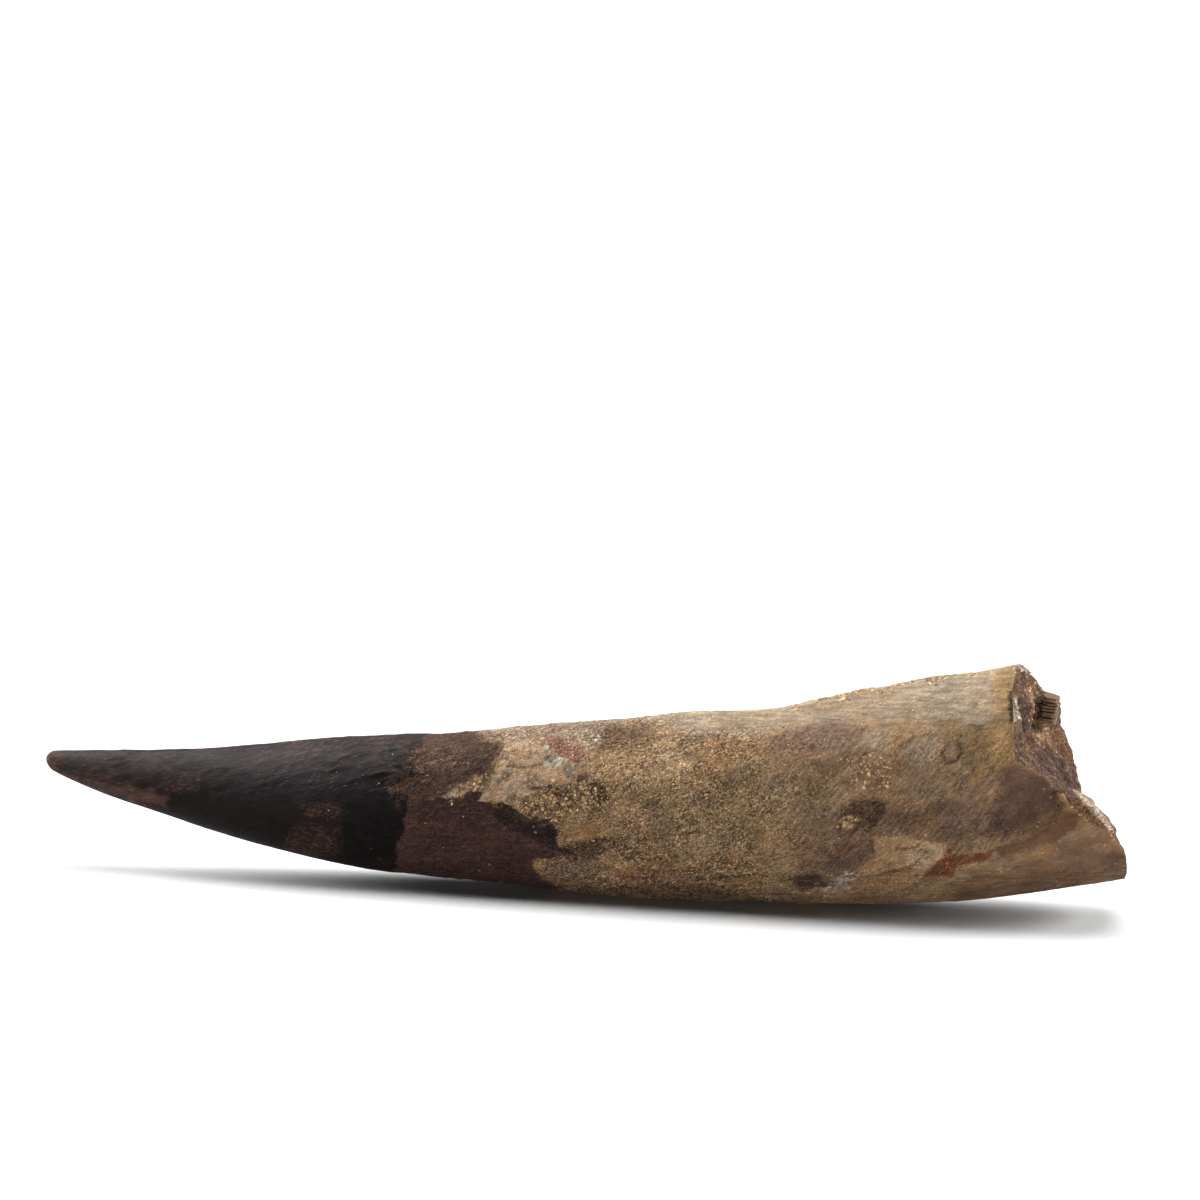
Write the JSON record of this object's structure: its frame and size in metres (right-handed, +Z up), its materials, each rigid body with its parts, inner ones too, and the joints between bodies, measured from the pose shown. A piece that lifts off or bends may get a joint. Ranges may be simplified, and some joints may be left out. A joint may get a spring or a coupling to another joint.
{
  "type": "fossil spinosaurus tooth",
  "caption": "Long, gently curved conical fossil tooth with its root snapped off obliquely, lying on the flattened belly of its outer curve.",
  "frame": {"origin": "under the middle of the tooth, on the surface that it lies on", "axes": "+X from the tip to the root, along the length; +Z up; +Y to the side away from the front"},
  "size_m": [0.15, 0.0238, 0.0321],
  "materials": {
    "fossil_dentine": "mineralised tooth: near-black worn enamel towards the tip, maroon and ochre sandy stone over the root, pale buff near the break, dull"
  },
  "bodies": {
    "root": {"tooth": "fossil_dentine"}
  },
  "joints": []
}
